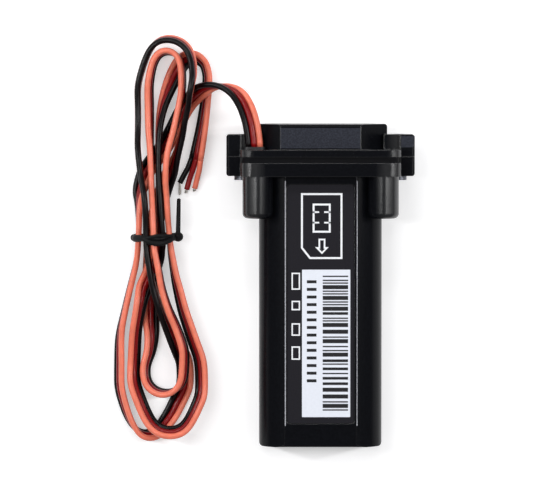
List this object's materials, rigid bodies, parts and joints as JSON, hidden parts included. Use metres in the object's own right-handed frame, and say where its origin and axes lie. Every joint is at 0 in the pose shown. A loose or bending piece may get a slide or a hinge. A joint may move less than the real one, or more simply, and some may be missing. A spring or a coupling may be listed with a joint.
{
  "type": "gps tracker",
  "caption": "Wired vehicle position tracker in a black moulded housing with screwed cap, two eared metal sleeves, front label and a flat three-core cable tied in a hank.",
  "frame": {"origin": "centre of the rectangle that the tracker without its cable covers on the surface, at the flat back", "axes": "+X to the right when the label is read, +Y from the foot to the cap, +Z out of the label"},
  "size_m": [0.0822, 0.1121, 0.02],
  "materials": {
    "housing_plastic": "polished",
    "insert_brass": "satin",
    "label_film": "satin",
    "sticker_paper": "matt",
    "cap_plastic": "polished",
    "frame_plastic": "satin",
    "seal_rubber": "matt",
    "screw_steel": "satin",
    "sleeve_metal": "polished",
    "plug_rubber": "matt",
    "lead_plastic": "satin",
    "board_laminate": "satin",
    "antenna_ceramic": "matt",
    "receiver_can": "satin",
    "module_laminate": "satin",
    "shield_steel": "satin",
    "antenna_metal": "satin",
    "battery_foil": "satin",
    "tape_foam": "matt",
    "battery_lead_plastic": "satin",
    "plug_plastic": "satin",
    "header_plastic": "satin",
    "socket_steel": "satin",
    "card_plastic": "satin",
    "switch_steel": "satin",
    "slider_plastic": "satin",
    "can_aluminium": "satin",
    "choke_ferrite": "matt",
    "chip_resin": "matt",
    "light_resin": "clear",
    "cable_plastic_lead": "satin",
    "cable_plastic_hank": "satin",
    "cable_plastic_tail": "satin",
    "core_plastic": "satin",
    "tip_tin": "satin",
    "tie_plastic": "satin"
  },
  "bodies": {
    "housing_body": {"housing": "housing_plastic", "screw_inserts": "insert_brass", "front_label": "label_film", "id_sticker": "sticker_paper"},
    "cap_body": {"cap": "cap_plastic", "cap_frame": "frame_plastic", "cap_seal": "seal_rubber", "cap_screws": "screw_steel", "ear_sleeves": "sleeve_metal", "cable_plug": "plug_rubber", "inner_leads": "lead_plastic", "main_board": "board_laminate", "satellite_antenna": "antenna_ceramic", "satellite_receiver": "receiver_can", "radio_module": "module_laminate", "radio_shield": "shield_steel", "mobile_antenna": "antenna_metal", "battery": "battery_foil", "battery_tape": "tape_foam", "battery_leads": "battery_lead_plastic", "battery_plug": "plug_plastic", "battery_header": "header_plastic", "sim_socket": "socket_steel", "switch_case": "switch_steel", "capacitor": "can_aluminium", "choke": "choke_ferrite", "board_chips": "chip_resin", "status_lights": "light_resin", "cable_lead": "cable_plastic_lead", "cable_hank": "cable_plastic_hank", "cable_tail": "cable_plastic_tail", "core_ends": "core_plastic", "bare_tips": "tip_tin", "hank_tie": "tie_plastic"},
    "card_body": {"sim_card": "card_plastic"},
    "slider_body": {"switch_slider": "slider_plastic"}
  },
  "joints": [
    {"name": "cap_pull", "type": "slide", "parent": "housing_body", "child": "cap_body", "axis": [0, 1, 0], "range_m": [0, 0.08]},
    {"name": "card_slide", "type": "slide", "parent": "cap_body", "child": "card_body", "axis": [0, 1, 0], "range_m": [0, 0.018]},
    {"name": "switch_slide", "type": "slide", "parent": "cap_body", "child": "slider_body", "axis": [0, -1, 0], "range_m": [0, 0.002]}
  ]
}
